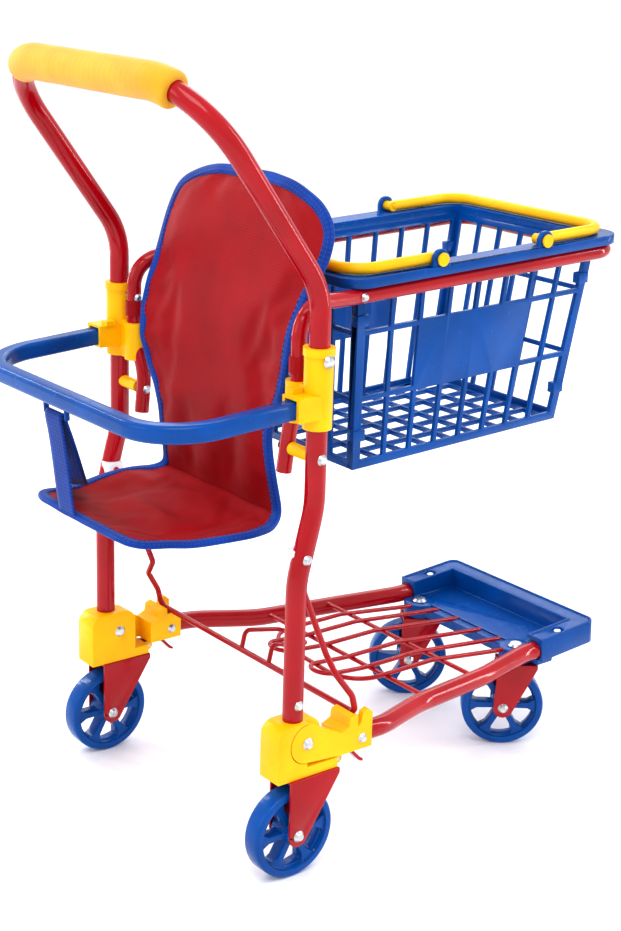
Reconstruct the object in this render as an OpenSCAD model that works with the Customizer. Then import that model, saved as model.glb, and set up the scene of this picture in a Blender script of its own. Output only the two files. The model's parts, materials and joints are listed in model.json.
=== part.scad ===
// Toy shopping cart with a doll seat, a lift-out basket and a folding lower frame.
// Frame: +X is the way the cart is pushed, +Y is its left side, +Z is up, z = 0 is the floor.
// Modules are drawn with x = 0 at the rear axle, and in_frame() moves them to the middle of the length.

/* [Handle frame] */
// height of the grip's centre line above the floor
grip_height = 609; // [560:1:680]
// distance between the leg centre lines
leg_spacing = 269; // [250:1:300]
// outside diameter of the leg and handle tube
leg_tube_d = 16; // [14:0.5:18]
// wall of every steel tube
tube_wall = 1; // [0.8:0.1:1.5]
// lean of the handle behind the vertical
handle_lean = 36.5; // [25:0.5:42]
// outside diameter of the foam grip
grip_d = 27; // [24:1:34]

/* [Basket] */
// height of the ring's centre line where it joins the posts
ring_height = 444; // [420:1:460]
// slope of ring and basket, nose up
basket_tilt = 2.2; // [0:0.1:5]
// length of the straight basket ring from the joint to its front
ring_length = 285; // [250:1:330]
// outside diameter of the ring tube
ring_tube_d = 12; // [10:0.5:14]
// distance between the ring's side centre lines
ring_spacing = 190; // [170:1:200]
// depth of the basket below its rim
basket_depth = 152; // [110:1:165]
// thickness of the basket walls
basket_wall = 3.5; // [2.5:0.1:5]

/* [Lower frame] */
// distance from the rear axle to the bumper's front face
bumper_front = 381; // [350:1:450]
// outside width of the bumper
bumper_width = 191; // [180:1:210]
// height of the bumper's section
bumper_h = 20; // [19:0.5:26]
// distance from the rear axle to the caster swivels
swivel_x = 309.5; // [295:0.5:320]
// distance between the two caster swivels
swivel_spacing = 131; // [118:1:140]
// diameter of the rack and bow wire
wire_d = 5; // [4:0.5:6]

/* [Wheels] */
// outside diameter of all four wheels
wheel_d = 74; // [66:1:78]
// width of the wheels
wheel_w = 17.4; // [14:0.2:18.6]
// diameter of the wheel axles
axle_d = 6; // [5:0.5:7]
// trail of the front casters
caster_trail = 9.5; // [6:0.5:14]
// way the right caster points at rest, degrees clockwise from above
caster_turn_right = 37.5; // [0:0.5:60]
// way the left caster points at rest, degrees clockwise from above
caster_turn_left = 34.5; // [0:0.5:60]

/* [Seat] */
// height of the doll bar's centre line
bar_height = 379; // [370:1:382]
// how far the doll bar reaches behind the rear axle
bar_reach = 118; // [95:1:140]
// slope of the doll bar, its rear end lower
bar_tilt = 3.7; // [0:0.1:4]
// side of the doll bar's rounded square section
bar_size = 14; // [11:0.5:15]
// width of the seat's front edge
seat_front_w = 150; // [120:1:180]
// greatest width of the seat back
back_w = 212; // [180:1:214]
// thickness of the padded seat panels
pad_t = 5; // [3:0.5:6]

/* [Hidden] */

red = [0.72, 0.07, 0.12];
yellow = [0.97, 0.80, 0.08];
blue = [0.03, 0.25, 0.62];
zinc = [0.75, 0.77, 0.78];
white = [0.92, 0.92, 0.92];
cloth = [0.70, 0.06, 0.10];
band = [0.05, 0.22, 0.70];

run_fit = 0.05;             // radial clearance of a turning pin in its hole
air = 0.6;                  // least gap between pieces that move past each other
leg_y = leg_spacing / 2;
leg_r = leg_tube_d / 2;
wheel_r = wheel_d / 2;
axle_r = axle_d / 2;
bar_rear = -bar_reach - bar_size / 2;
x_mid = (bumper_front + 0.56 + bar_rear) / 2; // the sloping bumper reaches 0.56 mm further

pivot_x = 8;                // fold pivot of the lower frame, under the leg
pivot_z = wheel_r + 76;
pivot_r = 3;
leg_foot_z = pivot_z + 18;  // the leg stands on the housing's flat top
fork_top_z = wheel_r + 48;  // underside of the housing, top of the fork
leg_x = 1;                  // the leg's lower straight part
knee_x = 16;                // the leg's upper straight part
knee_low_z = leg_foot_z + 113;
knee_high_z = knee_low_z + 56;
lean_z = 463;               // corner where the handle starts to lean back
grip_x = knee_x - (grip_height - lean_z) * tan(handle_lean);
handle_bend = 60;           // bend radius of the handle's top corners

ring_x = 80;                // joint between the ring and its posts
ring_y = ring_spacing / 2;
ring_r = ring_tube_d / 2;
post_x = 15.5;
post_y = leg_y - 23.5;      // the posts stand just inside the legs
post_foot_y = leg_y - 36.5;
spacer_z = 338;
bolt_z = 413;

arm_in = leg_y - 12.5;      // inner and outer faces of the pivot arms and housings
arm_out = leg_y + 11.5;
layer_y = leg_y + 6;        // the arm's disc lies outside this plane, the housing's core inside it
disc_r = 16;
arm_x = 40;                 // rear face of the arm's full-width part
arm_end = 72;
arm_low = wheel_r + 57;
arm_top = arm_low + 19;
hook_x = 61.5;              // the bow's cross rod lies here in the hooks
hook_z = 121;
lever_x = 42.2;             // pin of the release lever
lever_z = fork_top_z + 4;
bow_y = leg_y + 3;
clip_x = 5;
clip_z = knee_low_z + 18;
clip_y = leg_y - 14.5;
wire_r = wire_d / 2;

rim_y = ring_y + 8;         // outside of the basket's rim
rim_low = ring_r + 0.5;
rim_t = 8;
body_y = ring_y - ring_r - 3;
body_foot_y = body_y - 7;
body_rear = 12;
body_front = ring_length - 14;
body_foot_front = body_front - 33;
side_taper = atan((body_y - body_foot_y) / basket_depth);
front_taper = atan((body_front - body_foot_front) / basket_depth);
rear_lug = 82;
front_lug = ring_length - 89;
lug_z = rim_low + rim_t + 5;
bail_y = body_y + 7;
bail_r = 4.6;
bail_pin_r = 4.2;

cheek_in = 11.6;            // fork cheeks, each way from the wheel's middle plane
cheek_t = 2;
bumper_rear = bumper_front - 69;
bumper_z = 97.5;
bumper_slope = 4;
stem_r = 5;
pad_low = fork_top_z - 4.5; // underside of the caster pads

module in_frame() {
    translate([-x_mid, 0, 0]) children();
}

// what is drawn on the left is mirrored for the right
module on_side(left) {
    if (left) children();
    else mirror([0, 1, 0]) children();
}

// extrudes a shape drawn in x and z between two values of y
module slab(y0, y1) {
    translate([0, y1, 0]) rotate([90, 0, 0]) linear_extrude(y1 - y0) children();
}

// cylinder along +Y
module pin_y(x, y0, y1, z, r) {
    translate([x, y0, z]) rotate([-90, 0, 0]) cylinder(r = r, h = y1 - y0, $fn = 32);
}

// domed rivet head whose flat face is at y = y0, dome outward (+Y)
module head_y(x, y0, z, r, h) {
    translate([x, y0, z]) rotate([-90, 0, 0])
        cylinder(r1 = r, r2 = r * 0.6, h = h, $fn = 32);
}

function unit(v) = v / norm(v);
function turn_at(p, i) = acos(max(-1, min(1, unit(p[i] - p[i - 1]) * unit(p[i + 1] - p[i]))));
function cut_at(p, b, i) = (i == 0 || i == len(p) - 1) ? 0 : b[i] * tan(turn_at(p, i) / 2);
function side_of(d) = unit(cross(d, abs(d[1]) < 0.9 ? [0, 1, 0] : [1, 0, 0]));

// rod through points p, with bend radius b[i] at each inner point; the bends are a hair thinner and
// run a little into the straights, so that every joint closes cleanly
module bent_rod(p, b, r) {
    sides = r < 4 ? 20 : 32;
    for (i = [0 : len(p) - 2]) {
        d = unit(p[i + 1] - p[i]);
        s = p[i] + d * cut_at(p, b, i);
        l = norm(p[i + 1] - p[i]) - cut_at(p, b, i) - cut_at(p, b, i + 1);
        u = side_of(d);
        v = cross(d, u);
        multmatrix([[u[0], v[0], d[0], s[0]], [u[1], v[1], d[1], s[1]],
            [u[2], v[2], d[2], s[2]], [0, 0, 0, 1]])
            cylinder(r = r, h = l, $fn = sides);
    }
    for (i = [1 : 1 : len(p) - 2]) {
        d = unit(p[i] - p[i - 1]);
        n = unit(unit(p[i + 1] - p[i]) - d);
        c = p[i] + n * b[i] / cos(turn_at(p, i) / 2);
        e = unit(p[i] - d * cut_at(p, b, i) - c);
        w = cross(e, d);
        more = 0.3 / b[i] * 180 / PI;
        multmatrix([[e[0], d[0], w[0], c[0]], [e[1], d[1], w[1], c[1]],
            [e[2], d[2], w[2], c[2]], [0, 0, 0, 1]])
            rotate([0, 0, -more]) rotate_extrude(angle = turn_at(p, i) + 2 * more, $fn = 64)
                translate([b[i], 0]) circle(r = r - 0.03, $fn = sides);
    }
}

function longer(p, g) = [for (i = [0 : len(p) - 1]) i == 0 ? p[0] - unit(p[1] - p[0]) * g :
    i == len(p) - 1 ? p[i] + unit(p[i] - p[i - 1]) * g : p[i]];

// the same as a tube, or as a solid rod where wall is 0
module bent_tube(p, b, r, wall) {
    if (wall > 0) difference() {
        bent_rod(p, b, r);
        bent_rod(longer(p, 1), b, r - wall);
    } else bent_rod(p, b, r);
}

// ---- handle frame ----

leg_half = [[leg_x, leg_y, leg_foot_z], [leg_x, leg_y, knee_low_z], [knee_x, leg_y, knee_high_z],
    [knee_x, leg_y, lean_z], [grip_x, leg_y, grip_height]];
handle_path = concat(leg_half, [for (i = [len(leg_half) - 1 : -1 : 0])
    [leg_half[i][0], -leg_half[i][1], leg_half[i][2]]]);
handle_bends = [0, 80, 80, 60, handle_bend, handle_bend, 60, 80, 80, 0];

module handle_frame() color(red) in_frame() difference() {
    bent_tube(handle_path, handle_bends, leg_r, tube_wall);
    // holes for the through bolts
    for (z = [bolt_z, spacer_z])
        pin_y(knee_x, -leg_y - leg_r - 1, leg_y + leg_r + 1, z, 2);
}

// the grip covers the straight bar and runs part of the way round both top corners
grip_arc = 22;
grip_r = grip_d / 2;
lean = [sin(handle_lean), 0, -cos(handle_lean)];
corner_in = [grip_x, leg_y - handle_bend, grip_height];
grip_corner = corner_in + [0, handle_bend * tan(grip_arc / 2), 0];
grip_end = corner_in + handle_bend * (1 - cos(grip_arc)) * lean + [0, handle_bend * sin(grip_arc), 0]
    + 5 * (sin(grip_arc) * lean + [0, cos(grip_arc), 0]);
grip_path = [grip_end, grip_corner, [grip_x, -grip_corner[1], grip_height],
    [grip_end[0], -grip_end[1], grip_end[2]]];

module handle_grip() color(yellow) in_frame() difference() {
    bent_rod(grip_path, [0, handle_bend, handle_bend, 0], grip_r);
    bent_rod(handle_path, handle_bends, leg_r);
}

post_path = [[14.6, post_foot_y, 318], [18, post_foot_y + 1, 350], [post_x, post_y, 384],
    [post_x, post_y, ring_height + 4], [ring_x, ring_y, ring_height]];
post_bends = [0, 60, 60, 24, 0];

module ring_post(left) color(red) in_frame() on_side(left) difference() {
    bent_tube(post_path, post_bends, ring_r, tube_wall);
    pin_y(knee_x, post_foot_y - 10, leg_y, bolt_z, 2);
    pin_y(knee_x, post_foot_y - 10, leg_y, spacer_z, 2);
}
module ring_post_left() ring_post(true);
module ring_post_right() ring_post(false);

module basket_place() {
    translate([ring_x, 0, ring_height]) rotate([0, -basket_tilt, 0]) children();
}

module basket_ring() color(red) in_frame() basket_place() {
    bent_tube([[0, ring_y, 0], [ring_length, ring_y, 0], [ring_length, -ring_y, 0], [0, -ring_y, 0]],
        [0, 21, 21, 0], ring_r, tube_wall);
}

// collar clamped on leg and post, with the doll bar's socket behind
module collar(left) color(yellow) in_frame() on_side(left) difference() {
    union() {
        translate([knee_x, leg_y, 361]) cylinder(r = leg_r + 3, h = 61, $fn = 48);
        translate([post_x + 1, post_y - 1, 361]) cylinder(r = ring_r + 3.5, h = 31, $fn = 48);
        translate([knee_x - 5, post_y - 1, 361]) cube([10, leg_y - post_y, 31]);
        translate([-9, leg_y - 10, bar_height - 9]) cube([22, 20, 18]);
        translate([-4, leg_y - 10 - 2, bar_height + 9]) cube([9, 8, 4]);
        translate([knee_x, leg_y, 416]) cylinder(r = leg_r + 4, h = 6, $fn = 48);
    }
    translate([knee_x, leg_y, 340]) cylinder(r = leg_r, h = 100, $fn = 32);
    bent_tube(post_path, post_bends, ring_r, 0);
    slab(leg_y - bar_size / 2, leg_y + bar_size / 2) translate([-20, bar_height - bar_size / 2])
        square([24, bar_size]);
    pin_y(knee_x, post_y - 12, leg_y + 14, bolt_z, 2);
}
module collar_left() collar(true);
module collar_right() collar(false);

module spacer(left) color(yellow) in_frame() on_side(left) difference() {
    pin_y(knee_x, post_foot_y + ring_r + 1.6, leg_y - 4, spacer_z, 5);
    pin_y(knee_x, post_foot_y, leg_y, spacer_z, 2);
    translate([knee_x, leg_y, 300]) cylinder(r = leg_r + 0.02, h = 80, $fn = 64);
}
module spacer_left() spacer(true);
module spacer_right() spacer(false);

// through bolts, tube rivets, and the rivets of the ring joint
module frame_bolts() color(zinc) in_frame() for (left = [true, false]) on_side(left) {
    pin_y(knee_x, post_y - ring_r - 1, leg_y + leg_r + 4, bolt_z, 2);
    head_y(knee_x, leg_y + leg_r + 4, bolt_z, 5, 2.4);
    head_y_in(post_x, post_y - ring_r - 0.2, bolt_z, 3.6, 1.6);
    pin_y(knee_x, post_foot_y - ring_r - 1, leg_y + leg_r + 1, spacer_z, 2);
    head_y(knee_x, leg_y + leg_r - 0.4, spacer_z, 4.5, 2.4);
    head_y_in(knee_x, post_foot_y - ring_r + 0.6, spacer_z, 3.6, 1.6);
    pin_y(leg_x, arm_in + 8, leg_y + leg_r + 1, leg_foot_z + 14, 1.8);
    head_y(leg_x, leg_y + leg_r - 0.4, leg_foot_z + 14, 4.2, 2.2);
    pin_y(clip_x, clip_y + 6.6, leg_y + leg_r + 1, clip_z, 1.8);
    head_y(clip_x, leg_y + leg_r - 0.5, clip_z, 4.2, 2.2);
    pin_y(ring_x + 6, ring_y, ring_y + ring_r + 0.6, ring_height, 1.8);
    head_y(ring_x + 6, ring_y + ring_r - 0.3, ring_height, 3.6, 1.8);
}

// rivet head with its dome towards the middle of the cart
module head_y_in(x, y1, z, r, h) {
    translate([x, y1, z]) rotate([90, 0, 0]) cylinder(r1 = r, r2 = r * 0.6, h = h, $fn = 32);
}

// ---- housing under each leg ----

module housing_outline() {
    difference() {
        union() {
            translate([-20, fork_top_z]) square([44, leg_foot_z - fork_top_z]);
            translate([-20, fork_top_z]) square([58, arm_low - 0.8 - fork_top_z]);
        }
        // rounded shoulders
        translate([-20, leg_foot_z]) corner_cut(11, 1, -1);
        translate([24, leg_foot_z]) corner_cut(11, -1, -1);
    }
}

// the waste outside a quarter circle; sx and sy point into the solid
module corner_cut(r, sx, sy) {
    scale([sx, sy]) difference() {
        translate([-1, -1]) square([r + 1, r + 1]);
        translate([r, r]) circle(r = r, $fn = 48);
    }
}

module housing(left) color(yellow) in_frame() on_side(left) difference() {
    union() {
        slab(arm_in, layer_y - air) housing_outline();
        // outer layer, cut away where the arm's disc and web turn
        slab(layer_y - air, arm_out) difference() {
            housing_outline();
            translate([pivot_x, pivot_z]) circle(r = disc_r + air, $fn = 64);
            translate([pivot_x, arm_low - 0.8]) square([60, 60]);
        }
        // spigot inside the leg tube
        translate([leg_x, leg_y, leg_foot_z - 1]) cylinder(r = leg_r - tube_wall, h = 30, $fn = 32);
        // ears that hold the release lever
        for (y = [arm_in + 6, arm_in + 17])
            slab(y, y + 3) polygon([[37, fork_top_z + 0.5], [43, fork_top_z + 0.5], [45.5, fork_top_z + 3],
                [45.5, fork_top_z + 7], [37, fork_top_z + 7.7]]);
    }
    pin_y(pivot_x, arm_in - 1, arm_out + 1, pivot_z, pivot_r);
    pin_y(lever_x, arm_in, arm_in + 24, lever_z, 1.5);
    pin_y(leg_x, arm_in, arm_out + 1, leg_foot_z + 14, 1.8);
}
module housing_left() housing(true);
module housing_right() housing(false);

module pivot_pins() color(zinc) in_frame() for (left = [true, false]) on_side(left) {
    pin_y(pivot_x, arm_in - 0.2, arm_out + 0.4, pivot_z, pivot_r);
    head_y(pivot_x, arm_out + 0.3, pivot_z, 5, 2.2);
    head_y_in(pivot_x, arm_in, pivot_z, 5, 2);
}

module lever_pins() color(zinc) in_frame() for (left = [true, false]) on_side(left)
    pin_y(lever_x, arm_in + 6.2, arm_in + 19.8, lever_z, 1.5);

// red release lever: an eye on its pin, a flat tongue and a turned-down tip
module release_lever(left) color(red) in_frame() on_side(left) difference() {
    union() {
        pin_y(lever_x, arm_in + 9.5, arm_in + 16.5, lever_z, 3);
        slab(arm_in + 9.7, arm_in + 16.3) translate([lever_x, lever_z])
            polygon([[0, 2], [13, 3], [17, 1.6], [26, -8], [28.5, -9.4], [27.6, -11.2], [24, -9.6],
                [15.6, -0.6], [12.5, 0.9], [0, 0.4]]);
    }
    pin_y(lever_x, arm_in + 9, arm_in + 17, lever_z, 1.5 + run_fit);
}
module release_lever_left() release_lever(true);
module release_lever_right() release_lever(false);

// ---- forks and wheels ----

// one cheek in x and z about the axle: rounded foot and a sloping side up to the top plate
module cheek_outline(x0, x1, h) {
    hull() {
        circle(r = 9, $fn = 48);
        translate([x0, h - 4]) square([x1 - x0, 4]);
    }
}

// inverted U of sheet: two cheeks and a top plate, with the axle hole
module fork_shape(x0, x1, h) {
    difference() {
        union() {
            for (s = [-1, 1]) slab(s > 0 ? cheek_in : -cheek_in - cheek_t,
                s > 0 ? cheek_in + cheek_t : -cheek_in) cheek_outline(x0, x1, h);
            slab(-cheek_in, cheek_in) translate([x0, h - cheek_t]) square([x1 - x0, cheek_t]);
        }
        pin_y(0, -20, 20, 0, axle_r);
    }
}

module rear_fork(left) color(red) in_frame() on_side(left)
    translate([0, leg_y, wheel_r]) fork_shape(-9, 39, fork_top_z - wheel_r);
module rear_fork_left() rear_fork(true);
module rear_fork_right() rear_fork(false);

module axle_shape() {
    pin_y(0, -cheek_in - cheek_t - 0.2, cheek_in + cheek_t + 0.2, 0, axle_r);
    head_y(0, cheek_in + cheek_t, 0, axle_r + 1.8, 2.4);
    head_y_in(0, -cheek_in - cheek_t, 0, axle_r + 1.8, 2.4);
}

module rear_axle(left) color(zinc) in_frame() on_side(left)
    translate([0, leg_y, wheel_r]) axle_shape();
module rear_axle_left() rear_axle(true);
module rear_axle_right() rear_axle(false);

// wheel: tyre band, thin channel ring, six flared spokes and a long hub
module wheel_shape() {
    half = wheel_w / 2;
    hub_r = axle_r + 6;
    rotate([90, 0, 0]) difference() {
        union() {
            rotate_extrude($fn = 96) polygon([[wheel_r - 7, -half + 1], [wheel_r - 6, -half],
                [wheel_r - 1.6, -half], [wheel_r, -half + 1.6], [wheel_r, half - 1.6],
                [wheel_r - 1.6, half], [wheel_r - 6, half], [wheel_r - 7, half - 1],
                [wheel_r - 7, 4], [wheel_r - 8.5, 3], [wheel_r - 8.5, -3], [wheel_r - 7, -4]]);
            translate([0, 0, -cheek_in + 0.8]) cylinder(r = hub_r, h = 2 * cheek_in - 1.6, $fn = 48);
            translate([0, 0, -half + 2.5]) linear_extrude(wheel_w - 5) for (k = [0 : 5])
                rotate(k * 60) polygon([[hub_r - 1, -2.6], [wheel_r - 14, -2.8], [wheel_r - 6.5, -7],
                    [wheel_r - 6.5, 7], [wheel_r - 14, 2.8], [hub_r - 1, 2.6]]);
        }
        cylinder(r = axle_r + run_fit, h = 60, center = true, $fn = 48);
    }
}

module rear_wheel(left) color(blue) in_frame() on_side(left)
    translate([0, leg_y, wheel_r]) wheel_shape();
module rear_wheel_left() rear_wheel(true);
module rear_wheel_right() rear_wheel(false);

// ---- lower frame ----

arm_web = [[pivot_x, pivot_z - disc_r], [arm_x + 1, arm_low], [arm_x + 1, arm_top],
    [24, pivot_z + 8.5], [pivot_x, pivot_z + disc_r]];

module arm(left) color(yellow) in_frame() on_side(left) difference() {
    union() {
        slab(layer_y, arm_out) union() {
            translate([pivot_x, pivot_z]) circle(r = disc_r, $fn = 64);
            polygon(arm_web);
        }
        slab(arm_in, arm_out) translate([arm_x, arm_low]) square([arm_end - arm_x, arm_top - arm_low]);
        // short prong behind the rod, tall prong outside the rod's end
        slab(arm_in, arm_out) polygon([[arm_x, arm_top - 1], [hook_x - 4, arm_top - 1],
            [hook_x - 4, arm_top + 10], [hook_x - 7, arm_top + 12], [hook_x - 12, arm_top + 10],
            [hook_x - 13, arm_top + 3]]);
        slab(bow_y + wire_r + 0.8, arm_out) polygon([[hook_x - 6, arm_top - 1], [arm_end, arm_top - 1],
            [arm_end, arm_top + 10], [hook_x + 6, arm_top + 14], [hook_x + 1, arm_top + 12],
            [hook_x - 1, arm_top + 4]]);
        // seat of the rod
        slab(arm_in, bow_y + wire_r) translate([hook_x - 6, arm_top - 1])
            square([10, hook_z - wire_r - 0.4 - arm_top + 1]);
    }
    pin_y(pivot_x, arm_in - 1, arm_out + 1, pivot_z, pivot_r + run_fit);
    bent_tube(tube_path, tube_bends, leg_r, 0);
    pin_y(hook_x + 1, arm_in - 1, arm_out + 1, arm_low + 9, 2);
}
module arm_left() arm(true);
module arm_right() arm(false);

tube_path = [[46, leg_y, arm_low + 9.5], [92, leg_y - 0.5, arm_low + 7], [150, leg_y - 22, 96.5],
    [238, ring_y + 5, 94.8], [bumper_rear - 14, bumper_width / 2 - 9.2, 95.6],
    [bumper_rear + 20, bumper_width / 2 - 9.2, 96]];
tube_bends = [0, 60, 100, 150, 60, 0];

module side_tube(left) color(red) in_frame() on_side(left) difference() {
    bent_tube(tube_path, tube_bends, leg_r, tube_wall);
    pin_y(hook_x + 1, arm_in - 1, arm_out + 1, arm_low + 9, 2);
}
module side_tube_left() side_tube(true);
module side_tube_right() side_tube(false);

module arm_rivets() color(zinc) in_frame() for (left = [true, false]) on_side(left) {
    pin_y(hook_x + 1, arm_in - 0.5, arm_out + 0.4, arm_low + 9, 2);
    head_y(hook_x + 1, arm_out, arm_low + 9, 4.2, 2.2);
    head_y_in(hook_x + 1, arm_in, arm_low + 9, 4.2, 2.2);
}

bumper_in = bumper_width / 2 - 19;  // inside half width of the bumper's arms

module bumper_place() {
    translate([bumper_rear, 0, bumper_z]) rotate([0, -bumper_slope, 0])
        translate([-bumper_rear, 0, -bumper_z]) children();
}

// U-shaped bumper in plan, open to the rear
module bumper_plan() {
    w = bumper_width / 2;
    difference() {
        translate([bumper_rear, -w]) square([bumper_front - bumper_rear, 2 * w]);
        translate([bumper_rear - 1, -bumper_in]) square([bumper_front - bumper_rear - 18, 2 * bumper_in]);
        for (s = [-1, 1]) translate([bumper_front, s * w]) scale([-1, -s]) corner_cut(9, 1, 1);
    }
}

module bumper() color(blue) in_frame() difference() {
    union() {
        bumper_place() {
            translate([0, 0, bumper_z - bumper_h / 2 - 0.5]) linear_extrude(bumper_h) bumper_plan();
            // raised lip round the top
            translate([0, 0, bumper_z + bumper_h / 2 - 0.6]) linear_extrude(1.6) difference() {
                bumper_plan();
                offset(delta = -2.5) bumper_plan();
            }
        }
        // caster pads and the bridges that carry them
        for (s = [-1, 1]) {
            translate([swivel_x, s * swivel_spacing / 2, pad_low])
                cylinder(r = 15, h = 13, $fn = 64);
            translate([bumper_rear, s > 0 ? 50 : -bumper_in - 4, pad_low])
                cube([22, bumper_in + 4 - 50, 12]);
            translate([bumper_rear + 3, s > 0 ? bumper_in - 6 : -bumper_in + 6 - 18, pad_low])
                cube([19, 18, 12]);
        }
        // cross bar between the pads
        translate([swivel_x - 6, -swivel_spacing / 2, pad_low + 2]) cube([14, swivel_spacing, 9]);
        translate([bumper_rear, -bumper_in - 3, 89.4]) cube([bumper_front - bumper_rear - 16,
            2 * bumper_in + 6, 4]);
    }
    for (left = [true, false]) on_side(left) {
        bent_tube(tube_path, tube_bends, leg_r, 0);
        translate([swivel_x, swivel_spacing / 2, 60]) cylinder(r = stem_r + run_fit, h = 80, $fn = 48);
    }
    // recesses round the two top screws
    bumper_place() for (s = [-1, 1])
        translate([bumper_rear + 29, s * (bumper_width / 2 - 9.5), bumper_z + bumper_h / 2 - 3.5])
            cylinder(r = 5.5, h = 10, $fn = 48);
}

module bumper_screws() color(zinc) in_frame() bumper_place() for (s = [-1, 1])
    translate([bumper_rear + 29, s * (bumper_width / 2 - 9.5), bumper_z + bumper_h / 2 - 3.5])
        cylinder(r1 = 4, r2 = 3, h = 2, $fn = 32);

// wire rack: outer U with rounded rear corners, two long hairpins and a cross wire
rack_z = 103;
rack_front = bumper_rear + 3;

module rack() color(red) in_frame() {
    r = wire_r - 0.5;
    side = swivel_spacing / 2 - 2.5;
    end_x = swivel_x - 9;
    end_z = 91.2;
    bent_tube([[end_x, side, end_z], [210, side, rack_z], [124, side, rack_z],
        [118, -side, rack_z], [210, -side, rack_z], [end_x, -side, end_z]],
        [0, 60, 30, 30, 60, 0], r, 0);
    for (s = [-1, 1])
        bent_tube([[rack_front, s * 16, end_z], [210, s * 16, rack_z], [150, s * 16, rack_z],
            [106, s * 16, rack_z + 4], [106, s * 42, rack_z + 4], [150, s * 42, rack_z],
            [210, s * 42, rack_z], [rack_front, s * 42, end_z]],
            [0, 60, 60, 12.5, 12.5, 60, 60, 0], r, 0);
    // cross wires under the long wires, welded to both side tubes
    for (q = [[160, 104.2], [222, 98.2]])
        bent_tube([[q[0], -q[1], rack_z - 3.6], [q[0], q[1], rack_z - 3.6]], [0, 0], r, 0);
}

// ---- casters ----

module caster_place(left) {
    translate([swivel_x, left ? swivel_spacing / 2 : -swivel_spacing / 2, 0])
        rotate([0, 0, left ? -caster_turn_left : -caster_turn_right]) children();
}

module caster_fork(left) color(red) in_frame() caster_place(left) difference() {
    translate([-caster_trail, 0, wheel_r])
        fork_shape(-7, 29, pad_low - 0.8 - wheel_r);
    translate([0, 0, wheel_r]) cylinder(r = stem_r - 1, h = 60, $fn = 32);
}
module caster_fork_left() caster_fork(true);
module caster_fork_right() caster_fork(false);

module caster_stem(left) color(zinc) in_frame() caster_place(left) {
    translate([0, 0, pad_low - 0.8]) cylinder(r = stem_r, h = 14.6, $fn = 48);
    translate([0, 0, pad_low - 3.2]) cylinder(r = stem_r - 1, h = 3, $fn = 32);
    translate([0, 0, pad_low + 13.6]) cylinder(r1 = stem_r + 2, r2 = stem_r, h = 2, $fn = 48);
}
module caster_stem_left() caster_stem(true);
module caster_stem_right() caster_stem(false);

module caster_axle(left) color(zinc) in_frame() caster_place(left)
    translate([-caster_trail, 0, wheel_r]) axle_shape();
module caster_axle_left() caster_axle(true);
module caster_axle_right() caster_axle(false);

module front_wheel(left) color(blue) in_frame() caster_place(left)
    translate([-caster_trail, 0, wheel_r]) wheel_shape();
module front_wheel_left() front_wheel(true);
module front_wheel_right() front_wheel(false);

// ---- lock bow ----

bow_half = [[hook_x, bow_y, hook_z], [hook_x - 4, bow_y, hook_z + 16], [44, bow_y - 5, hook_z + 36],
    [42, clip_y + 2, hook_z + 50], [clip_x, clip_y, clip_z]];
bow_path = concat([[clip_x, clip_y + 6, clip_z]],
    [for (i = [len(bow_half) - 1 : -1 : 0]) bow_half[i]],
    [for (i = [0 : len(bow_half) - 1]) [bow_half[i][0], -bow_half[i][1], bow_half[i][2]]],
    [[clip_x, -clip_y - 6, clip_z]]);
bow_bends = [0, 2.7, 8, 8, 12, 7, 7, 12, 8, 8, 2.7, 0];

// wire bow with a foot loop standing up from the middle of its cross rod
module lock_bow() color(red) in_frame() {
    bent_tube(bow_path, bow_bends, wire_r, 0);
    bent_tube([[hook_x, 15, hook_z], [hook_x + 4, 15, hook_z + 17], [hook_x + 42, 15, hook_z + 9],
        [hook_x + 42, -23, hook_z + 9], [hook_x + 4, -23, hook_z + 17], [hook_x, -23, hook_z]],
        [0, 5, 7, 7, 5, 0], wire_r - 0.5, 0);
}

// white clip on the inner side of each leg, the bow's end turns in it
module bow_clip(left) color(white) in_frame() on_side(left) difference() {
    translate([clip_x - 7, clip_y + 3.3, clip_z - 6]) cube([14, leg_y - clip_y - 3.3, 12]);
    bent_tube(handle_path, handle_bends, leg_r, 0);
    pin_y(clip_x, clip_y - 3, clip_y + 6.4, clip_z, wire_r + run_fit);
    pin_y(clip_x, clip_y, leg_y, clip_z, 1.8);
}
module bow_clip_left() bow_clip(true);
module bow_clip_right() bow_clip(false);

// ---- basket ----

module rim_plan(x0, x1, w, r) {
    translate([x0 + r, -w + r]) offset(r = r, $fn = 48) square([x1 - x0 - 2 * r, 2 * w - 2 * r]);
}

module basket_rim() color(blue) in_frame() basket_place() difference() {
    union() {
        translate([0, 0, rim_low]) linear_extrude(rim_t) difference() {
            rim_plan(-7, ring_length + 3, rim_y, 20);
            translate([body_rear + basket_wall, -body_y + basket_wall])
                square([body_front - body_rear - 2 * basket_wall, 2 * (body_y - basket_wall)]);
        }
        for (x = [rear_lug, front_lug]) for (s = [-1, 1]) {
            y0 = s > 0 ? bail_y + 5.2 : -bail_y - 9.2;
            slab(y0, y0 + 4) union() {
                translate([x, lug_z]) circle(r = 8, $fn = 48);
                translate([x - 8, rim_low + rim_t - 1]) square([16, 6]);
            }
        }
    }
    for (x = [rear_lug, front_lug]) pin_y(x, -rim_y - 20, rim_y + 20, lug_z, bail_pin_r + run_fit);
}

// lattice wall drawn with its top edge at 0: rear and front edges go from x0, x1 to x2, x3 at the foot
cols = 8;
bar_w = 4;
row_z = [0, 0.265, 0.62, 1];
function lerp(a, b, t) = a + (b - a) * t;

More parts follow.
